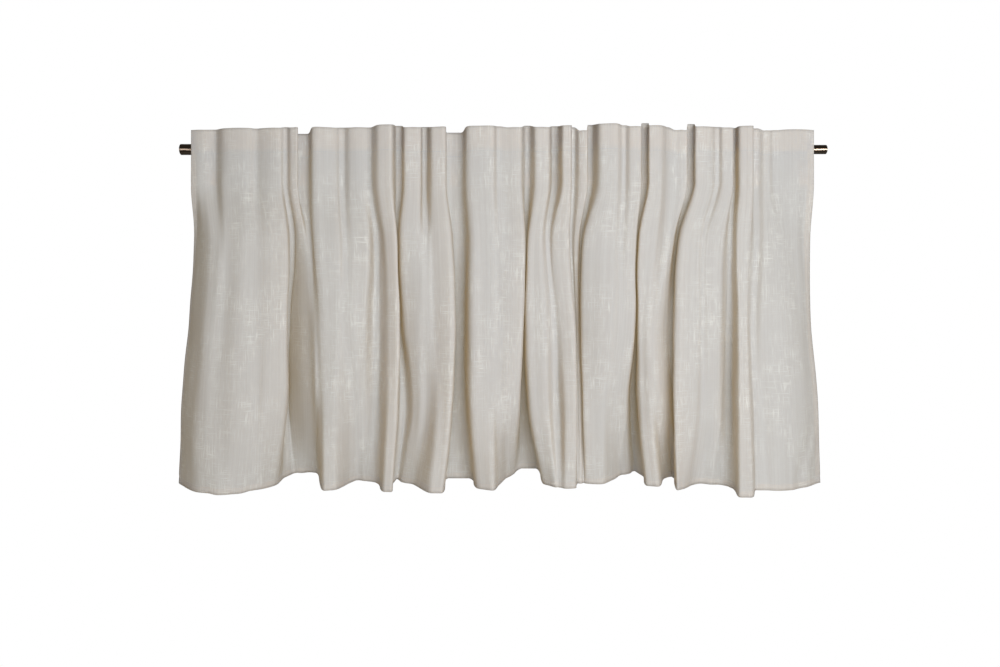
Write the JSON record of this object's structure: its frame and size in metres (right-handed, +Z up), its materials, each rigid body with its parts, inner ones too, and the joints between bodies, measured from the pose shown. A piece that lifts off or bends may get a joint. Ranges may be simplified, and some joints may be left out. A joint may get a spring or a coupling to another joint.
{
  "type": "window valance on a curtain rod",
  "caption": "Light slub cloth valance with a pleated heading and a narrow hem, held along a plain telescopic rod by loops sewn behind the heading.",
  "frame": {"origin": "on the axis of the rod, at the middle of its length, where the wall's brackets would carry it", "axes": "+X runs along the rod to the right as seen from the room, +Y points from the room to the wall so the cloth's face looks towards -Y, +Z is up"},
  "size_m": [1.124, 0.137, 0.6151],
  "materials": {
    "slub_cloth": "matt slub weave, slightly see-through",
    "loop_tape": "flat woven tape",
    "rod_metal": "polished"
  },
  "bodies": {
    "root": {"panel": "slub_cloth", "loop_01": "loop_tape", "loop_02": "loop_tape", "loop_03": "loop_tape", "loop_04": "loop_tape", "loop_05": "loop_tape", "loop_06": "loop_tape", "loop_07": "loop_tape", "loop_08": "loop_tape", "loop_09": "loop_tape", "loop_10": "loop_tape", "loop_11": "loop_tape", "loop_12": "loop_tape", "loop_13": "loop_tape", "rod_outer_tube": "rod_metal", "rod_inner_tube": "rod_metal"}
  },
  "joints": []
}
